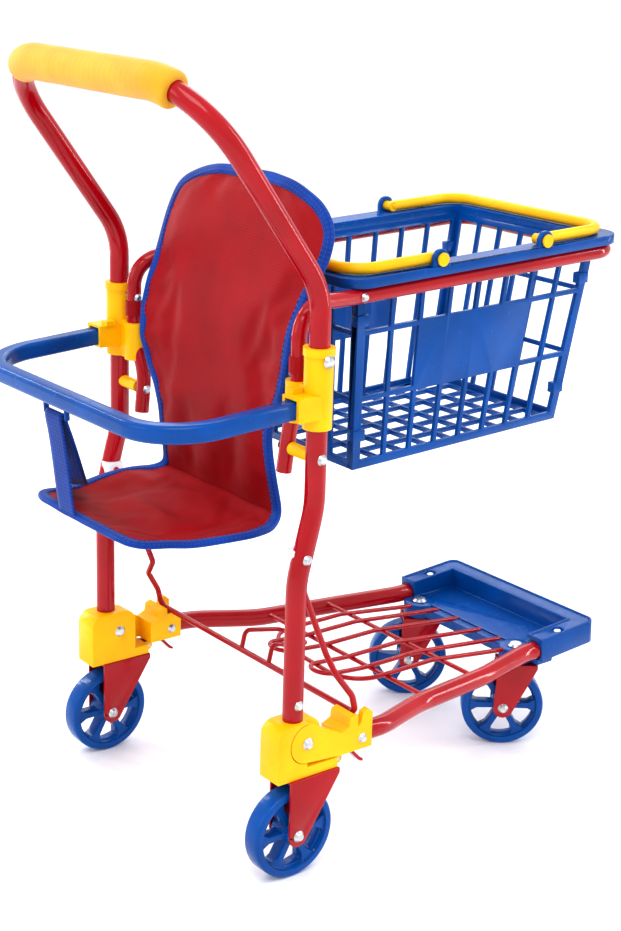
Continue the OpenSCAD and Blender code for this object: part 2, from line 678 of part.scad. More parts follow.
module lattice(x0, x1, x2, x3, depth, n, post, blank) {
    difference() {
        polygon([[x0, 1.2], [x1, 1.2], [x3, -depth], [x2, -depth]]);
        for (i = [0 : n - 1]) for (j = [0 : 2]) if (!(blank && j == 1 && i > 1 && i < n - 2)) {
            t0 = row_z[j];
            t1 = row_z[j + 1];
            h0 = -depth * t0 - (j == 0 ? 6 : bar_w / 2);
            h1 = -depth * t1 + (j == 2 ? 7 : bar_w / 2);
            p0 = -h0 / depth;
            p1 = -h1 / depth;
            polygon([
                [lerp(lerp(x0, x2, p0) + post, lerp(x1, x3, p0) - post, i / n) + bar_w / 2, h0],
                [lerp(lerp(x0, x2, p0) + post, lerp(x1, x3, p0) - post, (i + 1) / n) - bar_w / 2, h0],
                [lerp(lerp(x0, x2, p1) + post, lerp(x1, x3, p1) - post, (i + 1) / n) - bar_w / 2, h1],
                [lerp(lerp(x0, x2, p1) + post, lerp(x1, x3, p1) - post, i / n) + bar_w / 2, h1]]);
        }
    }
}

module side_wall_place(out) {
    translate([0, body_y - out, rim_low]) rotate([-side_taper, 0, 0]) rotate([90, 0, 0]) children();
}

module basket_side(left) color(blue) in_frame() basket_place() on_side(left) {
    side_wall_place(0) {
        linear_extrude(basket_wall) lattice(body_rear, body_front, body_rear,
            body_foot_front, basket_depth, cols, 6, true);
        // snap collars on the corner posts, at two heights
        for (h = [-34, -128]) translate([0, h, -1.8]) {
            translate([body_rear - 1.5, 0, 0]) cube([12, 9, basket_wall + 4]);
            translate([lerp(body_front, body_foot_front, -h / basket_depth) - 10.5, 0, 0])
                cube([11, 9, basket_wall + 4]);
        }
        // bead that makes each corner post deeper than the bars
        translate([body_rear, -basket_depth, basket_wall - 0.5]) cube([8, basket_depth - 1, 3]);
    }
}
module basket_side_left() basket_side(true);
module basket_side_right() basket_side(false);

module basket_front() color(blue) in_frame() basket_place()
    translate([body_front, 0, rim_low]) rotate([0, front_taper, 0]) rotate([90, 0, 90])
        translate([0, 0, -basket_wall]) linear_extrude(basket_wall)
            lattice(-body_y + 1.2, body_y - 1.2, -body_foot_y + 1.2, body_foot_y - 1.2,
                basket_depth / cos(front_taper) - 1, 6, 5, false);

module basket_rear() color(blue) in_frame() basket_place()
    translate([body_rear, 0, rim_low]) rotate([90, 0, 90]) linear_extrude(basket_wall)
        lattice(-body_y + 1.2, body_y - 1.2, -body_foot_y + 1.2, body_foot_y - 1.2,
            basket_depth - 0.5, 6, 5, false);

module basket_floor() color(blue) in_frame() basket_place()
    translate([0, 0, rim_low - basket_depth]) linear_extrude(4) difference() {
        translate([body_rear + 1, -body_foot_y + 1]) square([body_foot_front - body_rear - 1.6,
            2 * body_foot_y - 2]);
        nx = 8;
        ny = 6;
        lx = (body_foot_front - body_rear - 14) / nx;
        ly = (2 * body_foot_y - 14) / ny;
        for (i = [0 : nx - 1]) for (j = [0 : ny - 1])
            translate([body_rear + 7 + i * lx + 1.6, -body_foot_y + 7 + j * ly + 1.6])
                square([lx - 3.2, ly - 3.2]);
    }

// yellow carrying bail: a U rod with a stub pin through each lug
module bail(px, reach) color(yellow) in_frame() basket_place() {
    bent_tube([[px, bail_y, lug_z], [px + reach, bail_y, lug_z], [px + reach, -bail_y, lug_z],
        [px, -bail_y, lug_z]], [0, 22, 22, 0], bail_r, 0);
    for (left = [true, false]) on_side(left) {
        pin_y(px, bail_y - 4, bail_y + 4.6, lug_z, bail_pin_r);
        pin_y(px, bail_y, bail_y + 10.6, lug_z, bail_pin_r);
        pin_y(px, bail_y + 10.3, bail_y + 11.8, lug_z, bail_pin_r + 1.2);
    }
}
module rear_bail() bail(rear_lug, -80);
module front_bail() bail(front_lug, 79);

// ---- doll seat ----

module bar_section() {
    offset(r = 4, $fn = 32) square(bar_size - 8, center = true);
}

bar_bend = 48;
strap_y = 12;
strap_w = 23;
strap_top_z = bar_height - (bar_reach + 4) * sin(bar_tilt) - bar_size / 2 - 8;

// the bar starts at x = 0 here, inside the collar, and runs back along -X
module bar_place() {
    translate([4, 0, bar_height]) rotate([0, -bar_tilt, 0]) children();
}

module doll_bar() color(blue) in_frame() bar_place() {
    reach = bar_reach + 4;
    for (s = [-1, 1]) {
        translate([0, s * leg_y, 0]) rotate([90, 0, -90]) linear_extrude(reach - bar_bend) bar_section();
        translate([-reach + bar_bend, s * (leg_y - bar_bend), 0])
            rotate([0, 0, s > 0 ? 90 : 180]) rotate_extrude(angle = 90, $fn = 96)
                translate([bar_bend, 0]) bar_section();
    }
    translate([-reach, leg_y - bar_bend, 0]) rotate([90, 0, 0])
        linear_extrude(2 * (leg_y - bar_bend)) bar_section();
    // two lugs under the rear of the bar, and the rod between them that the strap goes over
    for (y = [strap_y - 15, strap_y + 15])
        translate([-reach - 2, y - 1.5, -bar_size / 2 - 9.5]) cube([4, 3, 11]);
    pin_y(-reach, strap_y - 15, strap_y + 15, -bar_size / 2 - 8, 1.4);
}

seat_front_x = -105;
seat_z = 270;

// flat web from the bar down to the seat's front edge
module strap() color(band) in_frame() slab(strap_y - strap_w / 2, strap_y + strap_w / 2)
    polygon([[-bar_reach - 0.9, strap_top_z], [-bar_reach + 0.9, strap_top_z],
        [seat_front_x + 2.4, seat_z + 6.5], [seat_front_x + 0.6, seat_z + 6.5]]);

function back_half(z) = lookup(z, [[272, 80], [300, 77], [345, 77], [370, 92], [388, 98], [452, 98],
    [466, 105], [495, 106], [512, 93], [522, 68], [527, 40], [529, 0]]) * back_w / 212;
back_x = [[268, 30], [290, 24], [345, 15], [395, 13], [430, 19], [462, 32], [495, 45], [532, 55]];
back_rows = [272, 286, 300, 322, 345, 357, 370, 388, 420, 452, 459, 466, 480, 495, 504, 512, 517, 522,
    527, 529];

module seat_back() color(cloth) in_frame() intersection() {
    translate([-40, 0, 0]) rotate([90, 0, 90]) linear_extrude(140) polygon(concat(
        [for (z = back_rows) [back_half(z), z]],
        [for (i = [len(back_rows) - 1 : -1 : 0]) [-back_half(back_rows[i]), back_rows[i]]]));
    slab(-150, 150) polygon(concat([for (q = back_x) [q[1] - pad_t / 2, q[0]]],
        [for (i = [len(back_x) - 1 : -1 : 0]) [back_x[i][1] + pad_t / 2, back_x[i][0]]]));
}

function seat_half(x) = lookup(x, [[-106, 0.88], [-103, 0.94], [-97, 1], [-70, 1.08], [-30, 1.24],
    [-10, 1.27], [10, 1.23], [25, 1.09]]) * seat_front_w / 2;
seat_rows = [-106, -103, -97, -84, -70, -50, -30, -10, 0, 10, 18, 28.4];
seat_sag = [[-110, 276], [-95, 273.5], [-60, 270], [-15, 268.5], [30, 271.5]];

module seat_base() color(cloth) in_frame() intersection() {
    translate([0, 0, 240]) linear_extrude(80) polygon(concat(
        [for (x = seat_rows) [x, seat_half(x)]],
        [for (i = [len(seat_rows) - 1 : -1 : 0]) [seat_rows[i], -seat_half(seat_rows[i])]]));
    slab(-150, 150) polygon(concat([for (q = seat_sag) [q[0], q[1] + pad_t / 2]],
        [for (i = [len(seat_sag) - 1 : -1 : 0]) [seat_sag[i][0], seat_sag[i][1] - pad_t / 2]]));
}

// web loops that hold the back to the posts
module seat_tabs() color(band) in_frame() for (left = [true, false]) on_side(left) difference() {
    union() {
        translate([post_x, post_y, 398]) cylinder(r = ring_r + 1.2, h = 12, $fn = 32);
        translate([13.4 + pad_t / 2, 84, 398]) cube([1.6, post_y - 84, 12]);
    }
    translate([post_x, post_y, 390]) cylinder(r = ring_r, h = 30, $fn = 32);
}

handle_frame();
handle_grip();
collar_left();
collar_right();
spacer_left();
spacer_right();
frame_bolts();
basket_ring();
ring_post_left();
ring_post_right();
housing_left();
housing_right();
pivot_pins();
rear_fork_left();
rear_fork_right();
rear_axle_left();
rear_axle_right();
rear_wheel_left();
rear_wheel_right();
release_lever_left();
release_lever_right();
lever_pins();
arm_left();
arm_right();
side_tube_left();
side_tube_right();
arm_rivets();
bumper();
bumper_screws();
rack();
caster_fork_left();
caster_fork_right();
caster_stem_left();
caster_stem_right();
caster_axle_left();
caster_axle_right();
front_wheel_left();
front_wheel_right();
lock_bow();
bow_clip_left();
bow_clip_right();
basket_rim();
basket_side_left();
basket_side_right();
basket_front();
basket_rear();
basket_floor();
rear_bail();
front_bail();
doll_bar();
strap();
seat_back();
seat_base();
seat_tabs();
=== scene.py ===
import json
import math

import bmesh
import bpy
from mathutils import Matrix, Vector, noise
from mathutils.bvhtree import BVHTree

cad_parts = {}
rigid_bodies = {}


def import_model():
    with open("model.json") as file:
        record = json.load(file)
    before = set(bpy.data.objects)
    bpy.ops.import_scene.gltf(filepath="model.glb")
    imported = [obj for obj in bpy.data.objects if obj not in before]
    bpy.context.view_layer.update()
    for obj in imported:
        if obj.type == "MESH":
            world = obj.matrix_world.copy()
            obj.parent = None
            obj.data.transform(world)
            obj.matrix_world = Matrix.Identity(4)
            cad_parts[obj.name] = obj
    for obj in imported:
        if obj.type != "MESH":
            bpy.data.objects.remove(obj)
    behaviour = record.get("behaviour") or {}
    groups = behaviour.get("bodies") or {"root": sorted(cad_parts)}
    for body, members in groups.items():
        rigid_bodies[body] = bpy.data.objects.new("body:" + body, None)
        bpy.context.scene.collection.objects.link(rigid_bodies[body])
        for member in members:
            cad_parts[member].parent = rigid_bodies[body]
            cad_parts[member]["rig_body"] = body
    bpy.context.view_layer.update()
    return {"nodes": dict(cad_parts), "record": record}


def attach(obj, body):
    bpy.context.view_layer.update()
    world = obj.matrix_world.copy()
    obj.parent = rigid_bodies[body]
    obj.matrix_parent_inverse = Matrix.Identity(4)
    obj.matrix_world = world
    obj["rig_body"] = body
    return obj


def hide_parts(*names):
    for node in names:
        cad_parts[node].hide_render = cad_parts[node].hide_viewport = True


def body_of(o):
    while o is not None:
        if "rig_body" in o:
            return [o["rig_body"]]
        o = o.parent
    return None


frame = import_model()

# Lengths below are in millimetres, with x measured forward from the rear axle, and MM turns them into
# the frame's metres.
MM = 0.001
AXLE_X = 128.28


def spot(x, y, z):
    """A place given in millimetres from the rear axle, in the frame's metres."""
    return Vector(((x - AXLE_X) * MM, y * MM, z * MM))


def between(table, t):
    """Straight-line reading of a short table of (place, value) pairs."""
    if t <= table[0][0]:
        return table[0][1]
    for (t0, v0), (t1, v1) in zip(table, table[1:]):
        if t <= t1:
            return v0 + (v1 - v0) * (t - t0) / (t1 - t0)
    return table[-1][1]


# ---- camera, floor and light ----

def make_camera():
    """Stands behind and to the right of the cart, a little above the basket, looking slightly down."""
    data = bpy.data.cameras.new("camera")
    data.sensor_fit = "VERTICAL"
    data.sensor_height = 36
    data.lens = 69.0
    cam = bpy.data.objects.new("camera", data)
    bpy.context.scene.collection.objects.link(cam)
    yaw = math.radians(51.40)
    pitch = math.radians(-17.41)
    roll = math.radians(1.76)
    ahead = Vector((math.cos(yaw) * math.cos(pitch), math.sin(yaw) * math.cos(pitch), math.sin(pitch)))
    level = Vector((math.sin(yaw), -math.cos(yaw), 0))
    up = level.cross(ahead)
    right = math.cos(roll) * level + math.sin(roll) * up
    top = -math.sin(roll) * level + math.cos(roll) * up
    turn = Matrix((right, top, -ahead)).transposed().to_4x4()
    cam.matrix_world = Matrix.Translation((-0.8975, -1.1119, 0.7252)) @ turn
    bpy.context.scene.camera = cam


def soft_light(name, place, width, height, watts, aim=(0, 0, 0.25)):
    """A studio soft box, turned to face the cart."""
    data = bpy.data.lights.new(name, "AREA")
    data.shape = "RECTANGLE"
    data.size = width
    data.size_y = height
    data.energy = watts
    lamp = bpy.data.objects.new(name, data)
    lamp.location = place
    lamp.rotation_euler = (Vector(aim) - Vector(place)).to_track_quat("-Z", "Y").to_euler()
    bpy.context.scene.collection.objects.link(lamp)


# ---- shader helpers ----

def colour(code):
    """An sRGB hex colour as the linear colour that shaders take."""
    parts = [int(code[i:i + 2], 16) / 255 for i in (1, 3, 5)]
    return tuple(p / 12.92 if p <= 0.04045 else ((p + 0.055) / 1.055) ** 2.4 for p in parts) + (1,)


def add(tree, kind, inputs=None, **settings):
    """Adds one node; inputs gives each socket a value, or another node's output to link to it."""
    new = tree.nodes.new("ShaderNode" + kind)
    for key, value in settings.items():
        setattr(new, key, value)
    for key, value in (inputs or {}).items():
        if isinstance(value, bpy.types.NodeSocket):
            tree.links.new(value, new.inputs[key])
        else:
            new.inputs[key].default_value = value
    return new


def start(name):
    """A new material's node tree, its shader and its coordinates."""
    mat = bpy.data.materials.new(name)
    mat.use_nodes = True
    tree = mat.node_tree
    shader = tree.nodes["Principled BSDF"]
    coords = add(tree, "TexCoord")
    return mat, tree, shader, coords


def blotches(tree, coords, size_mm, detail=2.0):
    """Soft noise whose blobs are about size_mm across."""
    return add(tree, "TexNoise", {"Vector": coords.outputs["Object"], "Scale": 1000 / size_mm,
                                  "Detail": detail, "Roughness": 0.55})


def two_tones(tree, factor, low, high, start_at=0.35, end_at=0.65):
    """A colour that moves between two close tones as factor goes from start_at to end_at."""
    spread = add(tree, "MapRange", {"Value": factor, "From Min": start_at, "From Max": end_at})
    return add(tree, "Mix", {0: spread.outputs[0], 6: colour(low), 7: colour(high)},
               data_type="RGBA").outputs[2]


def bump(tree, shader, height, depth_mm, strength=1.0):
    """Turns a height from 0 to 1 into relief of depth_mm."""
    relief = add(tree, "Bump", {"Height": height, "Distance": depth_mm * MM, "Strength": strength})
    tree.links.new(relief.outputs[0], shader.inputs["Normal"])


def rough_range(tree, shader, factor, low, high):
    """Lets the roughness wander between low and high."""
    spread = add(tree, "MapRange", {"Value": factor, "From Min": 0.3, "From Max": 0.7,
                                    "To Min": low, "To Max": high})
    tree.links.new(spread.outputs[0], shader.inputs["Roughness"])


# ---- finishes ----

def stove_enamel(name, low, high):
    """Sprayed and baked enamel on steel tube: a clear gloss over a faint orange-peel ripple."""
    mat, tree, shader, coords = start(name)
    tone = blotches(tree, coords, 60)
    peel = blotches(tree, coords, 2.2, 1.0)
    tree.links.new(two_tones(tree, tone.outputs[0], low, high), shader.inputs["Base Color"])
    rough_range(tree, shader, blotches(tree, coords, 14).outputs[0], 0.10, 0.17)
    shader.inputs["IOR"].default_value = 1.46
    shader.inputs["Specular IOR Level"].default_value = 0.45
    bump(tree, shader, peel.outputs[0], 0.04, 0.12)
    return mat


def moulded(name, low, high, gloss_low, gloss_high):
    """Injection-moulded plastic: even colour, a slightly uneven gloss and a fine skin from the mould."""
    mat, tree, shader, coords = start(name)
    tone = blotches(tree, coords, 45)
    skin = blotches(tree, coords, 0.9, 2.0)
    tree.links.new(two_tones(tree, tone.outputs[0], low, high), shader.inputs["Base Color"])
    rough_range(tree, shader, blotches(tree, coords, 9).outputs[0], gloss_low, gloss_high)
    shader.inputs["IOR"].default_value = 1.46
    shader.inputs["Specular IOR Level"].default_value = 0.25
    bump(tree, shader, skin.outputs[0], 0.03, 0.08)
    return mat


def zinc_plate(name):
    """Bright zinc on turned rivets: silvery metal with fine drawing marks and dull patches."""
    mat, tree, shader, coords = start(name)
    tone = blotches(tree, coords, 5)
    marks = blotches(tree, coords, 0.5, 3.0)
    tree.links.new(two_tones(tree, tone.outputs[0], "#b9bcbe", "#dcdedf"), shader.inputs["Base Color"])
    rough_range(tree, shader, marks.outputs[0], 0.22, 0.38)
    shader.inputs["Metallic"].default_value = 1.0
    bump(tree, shader, marks.outputs[0], 0.02, 0.3)
    return mat


def foam_skin(name):
    """Extruded foam sleeve: matt, pored, with faint rings across its length."""
    mat, tree, shader, coords = start(name)
    tone = blotches(tree, coords, 30)
    pores = blotches(tree, coords, 0.8, 3.0)
    rings = add(tree, "TexWave", {"Vector": coords.outputs["Object"], "Scale": 1000 / 3.4 / 20 * 3.14159,
                                  "Distortion": 0.8, "Detail": 1.0, "Detail Scale": 2.0},
                bands_direction="Y")
    both = add(tree, "Math", {0: pores.outputs[0], 1: rings.outputs["Fac"]}, operation="ADD")
    half = add(tree, "Math", {0: both.outputs[0], 1: 0.5}, operation="MULTIPLY")
    tree.links.new(two_tones(tree, tone.outputs[0], "#d69d00", "#dfa908"), shader.inputs["Base Color"])
    rough_range(tree, shader, pores.outputs[0], 0.55, 0.72)
    shader.inputs["Sheen Weight"].default_value = 0.15
    bump(tree, shader, half.outputs[0], 0.35, 0.55)
    return mat


def woven(name, low, high, thread_mm, depth_mm, sheen, laid_on="UV"):
    """Plain-woven polyester: crossing threads, drawn coarser than the real 0.4 mm ones so they show."""
    mat, tree, shader, coords = start(name)
    uv = coords.outputs[laid_on]
    turns = 1000 / thread_mm / 20 * 3.14159
    warp = add(tree, "TexWave", {"Vector": uv, "Scale": turns, "Distortion": 0.35, "Detail": 1.0,
                                 "Detail Scale": 1.5}, bands_direction="X")
    weft = add(tree, "TexWave", {"Vector": uv, "Scale": turns, "Distortion": 0.35, "Detail": 1.0,
                                 "Detail Scale": 1.5}, bands_direction="Y")
    cross = add(tree, "Math", {0: warp.outputs["Fac"], 1: weft.outputs["Fac"]}, operation="MULTIPLY")
    tone = blotches(tree, coords, 35)
    fleck = add(tree, "MapRange", {"Value": cross.outputs[0], "To Min": 0.25, "To Max": 0.75})
    mixed = add(tree, "Math", {0: fleck.outputs[0], 1: tone.outputs[0]}, operation="ADD")
    halved = add(tree, "Math", {0: mixed.outputs[0], 1: 0.5}, operation="MULTIPLY")
    tree.links.new(two_tones(tree, halved.outputs[0], low, high, 0.3, 0.7), shader.inputs["Base Color"])
    shader.inputs["Roughness"].default_value = 0.62
    shader.inputs["Specular IOR Level"].default_value = 0.2
    shader.inputs["Sheen Weight"].default_value = sheen
    shader.inputs["Sheen Roughness"].default_value = 0.4
    bump(tree, shader, cross.outputs[0], depth_mm, 0.6)
    return mat


def clear_nylon(name):
    """Natural nylon clips: milky white and slightly see-through."""
    mat, tree, shader, coords = start(name)
    tone = blotches(tree, coords, 8)
    tree.links.new(two_tones(tree, tone.outputs[0], "#e3e6e8", "#f6f7f7"), shader.inputs["Base Color"])
    rough_range(tree, shader, tone.outputs[0], 0.3, 0.42)
    shader.inputs["Subsurface Weight"].default_value = 0.3
    shader.inputs["Subsurface Radius"].default_value = (0.003, 0.003, 0.003)
    return mat


FINISHES = {
    "red_paint": stove_enamel("red_stove_enamel", "#9f0010", "#ae0517"),
    "yellow_plastic": moulded("yellow_moulded_abs", "#f5b800", "#fcc508", 0.26, 0.36),
    "blue_plastic": moulded("blue_moulded_polypropylene", "#00478f", "#0151a0", 0.16, 0.28),
    "white_plastic": clear_nylon("natural_nylon"),
    "zinc": zinc_plate("bright_zinc_plate"),
    "yellow_foam": foam_skin("yellow_foam_sleeve"),
    "red_cloth": woven("red_oxford_polyester", "#8c000b", "#a80212", 1.1, 0.10, 0.02),
    "red_loops": woven("red_elastic_loops", "#8c000b", "#a90516", 1.6, 0.15, 0.06, "Object"),
    "blue_web": woven("blue_polyester_tape", "#04317f", "#0c4eb2", 1.6, 0.22, 0.12),
}


def paint_nodes():
    """Every CAD piece takes the finish of its own slot; the loops round the posts are red."""
    for row in frame["record"]["subparts"]:
        piece = frame["nodes"][row["node"]]
        finish = "red_loops" if row["node"] == "seat_tabs" else row["material_slot"]
        piece.data.materials.clear()
        piece.data.materials.append(FINISHES[finish])


# ---- shape helpers ----

def running_length(points):
    """How far along a line of points each one lies."""
    total = [0.0]
    for p, q in zip(points, points[1:]):
        total.append(total[-1] + (q - p).length)
    return total


def skin(name, rows, tube=False, closed=False):
    """A grid of faces laid over rows of points. Its UV map is in metres along and across the rows.

    tube joins the two ends of every row, and closed joins the last row to the first.
    """
    last = len(rows) if closed else len(rows) - 1
    side = len(rows[0]) if tube else len(rows[0]) - 1
    bm = bmesh.new()
    bmesh.ops.create_grid(bm, x_segments=last, y_segments=side, size=1)
    uv = bm.loops.layers.uv.new("UVMap")
    middle = len(rows[0]) // 2
    along = running_length([row[middle] for row in rows] + ([rows[0][middle]] if closed else []))
    across = []
    for row in rows:
        reach = running_length(list(row) + ([row[0]] if tube else []))
        across.append([r - reach[-1] / 2 for r in reach])
    index = {v: (round((v.co.x + 1) / 2 * last), round((v.co.y + 1) / 2 * side)) for v in bm.verts}
    for face in bm.faces:
        for loop in face.loops:
            i, j = index[loop.vert]
            loop[uv].uv = (along[i], across[i % len(rows)][j])
    for vert, (i, j) in index.items():
        vert.co = rows[i % len(rows)][j % len(rows[0])]
    bmesh.ops.remove_doubles(bm, verts=bm.verts, dist=1e-6)
    bmesh.ops.recalc_face_normals(bm, faces=bm.faces)
    return finished(name, bm)


def finished(name, bm):
    """Turns a bmesh into a smooth-shaded object in the scene."""
    mesh = bpy.data.meshes.new(name)
    bm.to_mesh(mesh)
    bm.free()
    mesh.shade_smooth()
    piece = bpy.data.objects.new(name, mesh)
    bpy.context.scene.collection.objects.link(piece)
    return piece


def subdivide_once(piece):
    """Adds one level of subdivision, the same in the render as elsewhere."""
    fine = piece.modifiers.new("fine", "SUBSURF")
    fine.levels = 1
    fine.render_levels = 1


def give_thickness(piece, thick_mm):
    """Turns a single sheet of faces into one of that thickness, half to each side, and keeps it."""
    solid = piece.modifiers.new("thickness", "SOLIDIFY")
    solid.thickness = thick_mm * MM
    solid.offset = 0
    keep_modifiers(piece)


def keep_modifiers(piece):
    """Replaces the piece's mesh with what its modifiers make of it."""
    graph = bpy.context.evaluated_depsgraph_get()
    made = bpy.data.meshes.new_from_object(piece.evaluated_get(graph))
    piece.modifiers.clear()
    piece.data = made


def dress(piece, body, slot_name):
    """Gives a new piece its finish, its body and its slot."""
    piece.data.materials.clear()
    piece.data.materials.append(FINISHES[slot_name])
    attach(piece, body)


def swell(piece, outline, pressure, spare, cap_mm):
    """Blows the panel up a little as cloth that is sewn down round its outline and slightly too large."""
    edge_mm = 9
    ends = [v.index for v in piece.data.vertices
            if min((v.co - p).length for p in outline) < edge_mm * MM]
    piece.vertex_groups.new(name="sewn").add(ends, 1.0, "REPLACE")
    rest = [v.co.copy() for v in piece.data.vertices]
    cloth = piece.modifiers.new("cloth", "CLOTH")
    cloth.settings.vertex_group_mass = "sewn"
    cloth.settings.use_pressure = True
    cloth.settings.uniform_pressure_force = pressure
    cloth.settings.shrink_min = -spare
    cloth.settings.quality = 6
    cloth.settings.bending_stiffness = 0.6
    cloth.settings.effector_weights.gravity = 0
    for number in range(1, 21):
        bpy.context.scene.frame_set(number)
    graph = bpy.context.evaluated_depsgraph_get()
    moved = [v.co.copy() for v in piece.evaluated_get(graph).data.vertices]
    piece.modifiers.clear()
    for vert, old, new in zip(piece.data.vertices, rest, moved):
        step = new - old
        if step.length > cap_mm * MM:
            step = step.normalized() * cap_mm * MM
        vert.co = old + step
    bpy.context.scene.frame_set(1)


# ---- rounded edges ----

# how far the edges of each moulded or pressed piece are rounded, in millimetres; the collars and the pivot
# arms have corners too tight to round, and stay as the frame gives them
ROUNDED = {"housing": 0.5, "bumper": 1.0, "rear_fork": 0.45, "caster_fork": 0.45,
           "basket_rim": 0.8, "basket_side": 0.5, "basket_front": 0.5, "basket_rear": 0.5,
           "basket_floor": 0.45, "rear_wheel": 0.8, "front_wheel": 0.8, "doll_bar": 0.8}
SAME_PLACE_MM = 0.01
FLAT_DEGREES = 0.8
SHARP_DEGREES = 38


def round_edges(row, radius_mm):
    """A copy of a CAD piece, merged into clean faces, with its sharp edges rounded as a mould leaves them.

    Where two edges meet too closely to be rounded, the corner goes back onto the sharp piece.
    """
    bm = bmesh.new()
    bm.from_mesh(frame["nodes"][row["node"]].data)
    bmesh.ops.remove_doubles(bm, verts=bm.verts, dist=SAME_PLACE_MM * MM)
    bmesh.ops.dissolve_limit(bm, angle_limit=math.radians(FLAT_DEGREES), verts=bm.verts, edges=bm.edges)
    sharp = BVHTree.FromBMesh(bm)
    piece = finished("rounded_" + row["node"], bm)
    soft = piece.modifiers.new("soft edge", "BEVEL")
    soft.width = radius_mm * MM
    soft.segments = 2
    soft.limit_method = "ANGLE"
    soft.angle_limit = math.radians(SHARP_DEGREES)
    soft.use_clamp_overlap = False
    soft.harden_normals = True
    keep_modifiers(piece)
    for vert in piece.data.vertices:
        on_sharp, _, _, gap = sharp.find_nearest(vert.co)
        if gap > 0.5 * radius_mm * MM:
            vert.co = on_sharp
    dress(piece, body_of(frame["nodes"][row["node"]])[0], row["material_slot"])
    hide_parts(row["node"])


def round_all():
    """Rounds every piece, left or right, that ROUNDED lists."""
    for row in frame["record"]["subparts"]:
        kind = row["node"].removesuffix("_left").removesuffix("_right")
        if kind in ROUNDED:
            round_edges(row, ROUNDED[kind])


# ---- seat ----

# profile of the cloth seat along its centre line, then the half-width beside each place
SEAT_BASE_X = [(-105, 274.5), (-95, 273.0), (-60, 269.0), (-15, 267.5), (15, 270.0), (27, 276.0)]
SEAT_BASE_HALF = [(-105, 66), (-101, 72), (-96, 75), (-70, 81), (-30, 93), (-10, 95.5), (8, 93), (20, 85),
                  (27, 79)]
SEAT_BACK_X = [(276, 27.0), (290, 24.5), (313, 20.5), (345, 15.5), (390, 13.5), (413, 16.0), (430, 20.0),
               (462, 32.5), (495, 46.0), (530, 54.5)]
SEAT_BACK_HALF = [(276, 79), (300, 77), (330, 76), (345, 78), (358, 85), (370, 92), (388, 98), (420, 99),
                  (448, 100), (458, 103), (468, 105.5), (482, 106.5), (495, 105), (505, 99.5), (512, 92),
                  (518, 80), (523, 66), (527, 48), (529.5, 26)]
SEAT_COLUMNS = 36
# how thick a panel is before it is blown up, how hard it is blown, its spare cloth and how far it may move
PANEL_THICK = 3.6
PANEL_PRESSURE = 1.5
PANEL_SPARE = 0.012
PANEL_CAP = 3.5
# how far the tape hides a panel's edge, how far apart the tape's points lie, and where its stitches run
TUCK = 2.2
TAPE_STEP = 4.2
STITCH_IN = 6.2
STITCH_OUT = 2.62


def base_row(x):
    """One row of the seat base at x, hollowed a little where a doll sits."""
    half = between(SEAT_BASE_HALF, x)
    z = between(SEAT_BASE_X, x)
    row = []
    for j in range(SEAT_COLUMNS + 1):
        side = 2 * j / SEAT_COLUMNS - 1
        hollow = 3.5 * (1 - side * side) * math.exp(-((x + 40) / 45) ** 2)
        lift = 4.0 * max(0, abs(side) - 0.55) * between([(-60, 0), (-10, 1), (27, 0)], x) * 2
        row.append(spot(x, side * half, z - hollow + lift))
    return row


def back_row(z):
    """One row of the seat back at z.

    It is dished in the middle, folded low down, puckered at the waist's edges and curled at the top's.
    """
    half = between(SEAT_BACK_HALF, z)
    x = between(SEAT_BACK_X, z)
    row = []
    for j in range(SEAT_COLUMNS + 1):
        side = 2 * j / SEAT_COLUMNS - 1
        dish = 7 * (1 - side * side) * math.exp(-((z - 400) / 75) ** 2)
        folds = 1.9 * math.sin(side * 8 + z / 30) * math.exp(-((z - 305) / 32) ** 2) * (1 - side ** 4)
        edge = max(0.0, abs(side) - 0.6) / 0.4
        puckers = 1.0 * edge * math.sin(z / 3.6 + side * 5) * math.exp(-((z - 385) / 42) ** 2)
        curl = 5.0 * edge * edge * math.exp(-((z - 475) / 45) ** 2)
        row.append(spot(x + dish + folds + puckers + curl, side * half, z))
    return row


def tucked(rows, free_end):
    """The rows drawn in a little at their sides and at the free end, so the tape covers their edge."""
    inner = []
    for row in rows:
        middle = (row[0] + row[-1]) / 2
        share = 1 - TUCK * MM / max((row[-1] - middle).length, 0.02)
        inner.append([middle + (p - middle) * share for p in row])
    step = 1 if free_end == 0 else -2
    inner[free_end] = [p.lerp(q, 0.5) for p, q in zip(inner[free_end], inner[step])]
    return inner


def make_panel(name, rows, outline):
    """A thin padded panel over the rows."""
    panel = skin(name, rows)
    give_thickness(panel, PANEL_THICK)
    swell(panel, outline, PANEL_PRESSURE, PANEL_SPARE, PANEL_CAP)
    subdivide_once(panel)
    panel.data.shade_smooth()
    return panel


def seat_border(base, back):
    """Points round the whole seat with, beside each, a point a little way in from the edge."""
    n = len(base) - 1
    k = len(back) - 1
    m = SEAT_COLUMNS
    path = [(base[0][j], base[2][j]) for j in range(2, m - 1)]
    path += [(base[i][m], base[i][m - 2]) for i in range(1, n)]
    path += [(back[i][m], back[i][m - 2]) for i in range(1, k)]
    path += [(back[k][j], back[k - 3][j]) for j in range(m - 1, 0, -1)]
    path += [(back[i][0], back[i][2]) for i in range(k - 1, 0, -1)]
    path += [(base[i][0], base[i][2]) for i in range(n - 1, 0, -1)]
    return path


def even_path(path, step_mm):
    """The same closed path with its points step_mm apart."""
    outer = [p for p, q in path] + [path[0][0]]
    inner = [q for p, q in path] + [path[0][1]]
    reach = running_length(outer)
    count = round(reach[-1] / (step_mm * MM))
    even = []
    place = 0
    for number in range(count):
        goal = reach[-1] * number / count
        while reach[place + 1] < goal:
            place += 1
        share = (goal - reach[place]) / (reach[place + 1] - reach[place])
        even.append((outer[place].lerp(outer[place + 1], share),
                     inner[place].lerp(inner[place + 1], share)))
    return even


